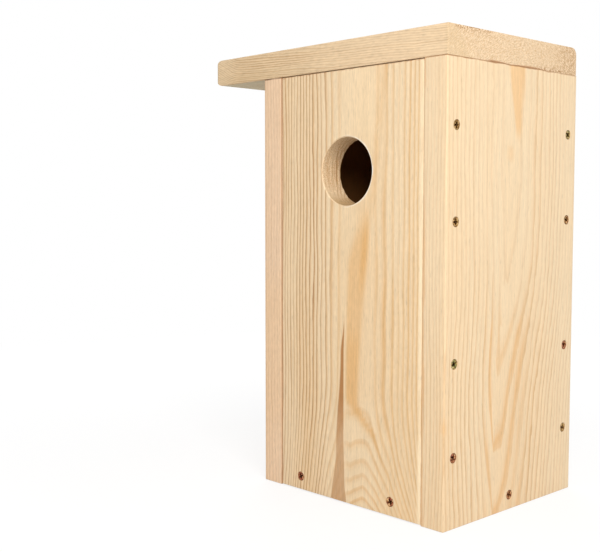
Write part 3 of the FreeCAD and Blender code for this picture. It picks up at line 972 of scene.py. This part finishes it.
screwSet = {
    "lines": (0.0, 0.60, 0.85, 1.4, 2.3, 2.55, 3.0, 3.7, 4.0),   # mm from the middle of the head, both ways
    "armInside": 0.60,                 # mm, half width of the cross at its bottom, it is 0.85 at its top
    "armReach": 2.3,
    "recess": 1.9,                     # mm deep in the middle
    "shallower": 0.45,                 # share of that depth that is lost at the ends of the cross
    "dish": 0.12,                      # mm, the head is slightly hollow
    "rim": (0.12, 0.45),               # mm down the head's edge: a row that keeps it crisp, and its foot
    "rimShade": (1.1, 0.1),             # mm from the edge, where painted shade on the rim starts and is full
    "rimDark": 0.60,                   # how dark it is there
    "core": 1.35,                      # mm, radius under the thread
    "thread": 0.62,                    # mm, height of the thread
    "threadSteep": 3.2,
    "threadStart": (3.0, 6.0),         # mm under the neck, where the thread starts and is full
    "pitch": 2.0,
    "pointLength": 6.0,
    "pointRows": 6,
    "rowsPerTurn": 4,
    "finish": [(0.0, "#97935a"), (0.22, "#b08f55"), (0.60, "#ab7a46"), (1.0, "#a86248")],
    # painted shade in the recess of the cross and round the rim of the head
    "hollow": "#33190d",
    "hollowFrom": (0.2, 0.8),
    "mottle": (2.2, 2.0),              # mm across the drifts of colour in the plating, and detail
    "mottleFrom": (0.3, 0.7),
    "drift": 0.22,                     # how far they shift it between olive and reddish
    "blotch": (1.5, 1.0),              # mm across the bright and dull blotches, and detail
    "blotchFrom": (0.35, 0.65),
    "dull": (0.45, 1.6),               # how dull and how bright they are: the plating's patchiness, and at the bright end partly painted highlight
    "glint": "#f0d6a2",                 # painted glints: pale spots that stand in for highlights on the head
    "glintFrom": (0.56, 0.68),
    "glintMost": 0.7,
    "roughness": (0.30, 0.50),
    "bump": (0.3, 0.1),                # strength, and height in mm
}


def shapeScrew(length):
    # Head: a square grid whose lines follow the cross recess, and whose outer rings ease into circles. Below
    # it the outer ring runs down as circles: rim, cone, a thread that climbs one pitch a turn, and a point.
    # Gives the points, the faces, and how much painted shade each point has, in the recess and round the rim.
    lines = np.array(screwSet["lines"])
    lines = np.concatenate((-lines[:0:-1], lines))
    a, b = np.meshgrid(lines, lines)
    ring = np.maximum(np.abs(a), np.abs(b))
    far = np.maximum(np.hypot(a, b), 1e-9)  # never 0
    head = lines[-1]
    reach = screwSet["armReach"]
    scale = 1 + (ring / far - 1) * ease(reach, head, ring)
    spare = 0.01  # mm
    inArm = np.minimum(np.abs(a), np.abs(b)) <= screwSet["armInside"] + spare
    cross = inArm & (ring <= reach + spare)
    # how deep each point lies in the cross, which also sets its painted shade
    hollow = cross * (1 - screwSet["shallower"] * ring / reach)
    height = -screwSet["dish"] * (1 - (ring / head) ** 2) - hollow * screwSet["recess"]
    # a ring of painted shadow round the rim, where the head meets its seat
    start, full = screwSet["rimShade"]
    hollow = hollow + screwSet["rimDark"] * ease(head - start, head - full, ring)
    top = np.stack((a * scale, b * scale, height), axis=-1).reshape(-1, 3)
    count = len(lines)
    index = np.arange(count * count).reshape(count, count)
    quads = np.stack((index[:-1, :-1], index[:-1, 1:], index[1:, 1:], index[1:, :-1]), axis=-1).reshape(-1, 4)
    outline = np.concatenate((index[0, :-1], index[:-1, -1], index[-1, :0:-1], index[:0:-1, 0]))

    angle = np.arctan2(top[outline, 1], top[outline, 0])
    crisp, rim = screwSet["rim"]
    neck = rim + head - screwSet["core"]
    point = length - screwSet["pointLength"]
    rows = int((point - neck) / screwSet["pitch"] * screwSet["rowsPerTurn"])
    shank = np.linspace(neck, point, rows)
    tip = np.linspace(point, length, screwSet["pointRows"] + 1)[1:]
    depth = np.concatenate(([crisp, rim], shank, tip))[:, None]
    core = np.interp(depth, [crisp, rim, neck, point, length],
                     [head, head, screwSet["core"], screwSet["core"], 0.0])
    climb = (-depth / screwSet["pitch"] - angle / (2 * math.pi)) % 1
    ridge = np.clip(1 - np.abs(climb - 0.5) * screwSet["threadSteep"], 0, 1)
    start, full = screwSet["threadStart"]
    grown = ease(neck + start, neck + full, depth) * ease(length, point, depth)
    radius = core + screwSet["thread"] * ridge * grown
    body = np.stack((radius * np.cos(angle), radius * np.sin(angle), -depth + 0 * radius), axis=-1)
    below = len(top) + np.arange(radius.size).reshape(radius.shape)
    strips = ringQuads(np.concatenate((outline[None], below)))[:, [0, 3, 2, 1]]  # turned to face outwards
    points = np.concatenate((top, body.reshape(-1, 3)))
    return points, np.concatenate((quads, strips)), np.concatenate((hollow.ravel(), np.zeros(radius.size)))


def yellowZinc():
    # steel screws, zinc plated and yellow passivated: satin metal, from olive to reddish, with painted shade
    # in the recess and round the rim, and painted glints
    material, tree = newMaterial("yellow passivated zinc plating")
    tint, hollow = [addNode(tree, "ShaderNodeAttribute", attribute_name=key).outputs["Fac"]
                    for key in ("tint", "hollow")]
    place = addNode(tree, "ShaderNodeTexCoord").outputs["Object"]
    noise = []
    for key in ("mottle", "blotch"):
        wide, detail = screwSet[key]
        spread = addNode(tree, "ShaderNodeMapping", {"Vector": place, "Scale": [1 / (wide * mm)] * 3})
        noise.append(addNode(tree, "ShaderNodeTexNoise", {
            "Vector": spread.outputs[0], "Scale": 1.0, "Detail": detail}).outputs["Fac"])
    mottle, blotch = noise
    start, full = screwSet["mottleFrom"]
    drift = addNode(tree, "ShaderNodeMapRange", {
        "Value": mottle, "From Min": start, "From Max": full, "To Min": -screwSet["drift"],
        "To Max": screwSet["drift"]})
    hue = addNode(tree, "ShaderNodeMath", {0: tint, 1: drift.outputs[0]}, operation="ADD", use_clamp=True)
    plating = addNode(tree, "ShaderNodeValToRGB", {"Fac": hue.outputs[0]})
    setStops(plating.color_ramp, screwSet["finish"])
    dull, bright = screwSet["dull"]
    dark, glintShare, shade = [addNode(tree, "ShaderNodeMapRange", {
        "Value": own, "From Min": screwSet[key][0], "From Max": screwSet[key][1], "To Min": low,
        "To Max": high}).outputs[0]
        for own, key, low, high in ((hollow, "hollowFrom", 0.0, 1.0),
                                    (blotch, "glintFrom", 0.0, screwSet["glintMost"]),
                                    (blotch, "blotchFrom", dull, bright))]
    colour = addNode(tree, "ShaderNodeMix", {0: 1.0, 6: plating.outputs["Color"], 7: shade},
                     data_type="RGBA", blend_type="MULTIPLY").outputs[2]
    # painted glints, then painted shade in the recess and round the rim
    for share, key in ((glintShare, "glint"), (dark, "hollow")):
        colour = addNode(tree, "ShaderNodeMix", {0: share, 6: colour, 7: hexToLinear(screwSet[key])},
                         data_type="RGBA").outputs[2]
    smooth, coarse = screwSet["roughness"]
    rough = addNode(tree, "ShaderNodeMapRange", {"Value": mottle, "To Min": smooth, "To Max": coarse})
    strength, tall = screwSet["bump"]
    bump = addNode(tree, "ShaderNodeBump", {"Strength": strength, "Distance": tall * mm, "Height": mottle})
    shader = addNode(tree, "ShaderNodeBsdfPrincipled", {
        "Base Color": colour, "Metallic": 1.0, "Roughness": rough.outputs[0], "Normal": bump.outputs[0]})
    addNode(tree, "ShaderNodeOutputMaterial", {"Surface": shader.outputs[0]})
    return material


def addScrews(name, board, material, seed):
    # Each screw stands where its CAD node is, head on the outer side, and is turned by seeded chance. So is
    # its tint chosen, where the board gives none.
    random = np.random.default_rng(seed)
    across, through, along = board["axes"]
    outward = board["outward"]
    if np.cross(np.eye(3)[across], np.eye(3)[along])[through] * outward < 0:
        across, along = along, across
    allPoints = []
    allQuads = []
    hollows = []
    tints = []
    nodes = sorted(screwsIn(board))
    for number, node in enumerate(nodes):
        low, high = nodeBox(node)
        points, quads, hollow = shapeScrew(high[through] - low[through])
        spin = random.uniform(0, math.pi / 2)
        placed = np.zeros_like(points)
        placed[:, across] = points[:, 0] * math.cos(spin) - points[:, 1] * math.sin(spin)
        placed[:, along] = points[:, 0] * math.sin(spin) + points[:, 1] * math.cos(spin)
        placed = placed + (low + high) / 2
        placed[:, through] = (high if outward > 0 else low)[through] + outward * points[:, 2]
        allQuads.append(quads + number * len(points))
        allPoints.append(placed)
        hollows.append(hollow)
        tint = board["tints"][number] if "tints" in board else random.uniform(0, 1)
        tints.append(np.full(len(points), tint))
    values = {"hollow": np.concatenate(hollows), "tint": np.concatenate(tints)}
    piece = toObject(name, np.concatenate(allPoints), np.concatenate(allQuads), values)
    piece.data.materials.append(material)
    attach(piece, "root")
    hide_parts(*nodes)
    print(name, "made:", len(nodes), "screws,", len(piece.data.polygons), "faces")


plating = yellowZinc()
screwBoards = {"rightWallScrews": rightWall, "leftWallScrews": leftWall,
               "entrancePanelScrews": entrancePanel, "rearPanelScrews": rearPanel, "roofScrews": roofBoard}
for seed, (name, board) in enumerate(screwBoards.items()):
    addScrews(name, board, plating, seed)
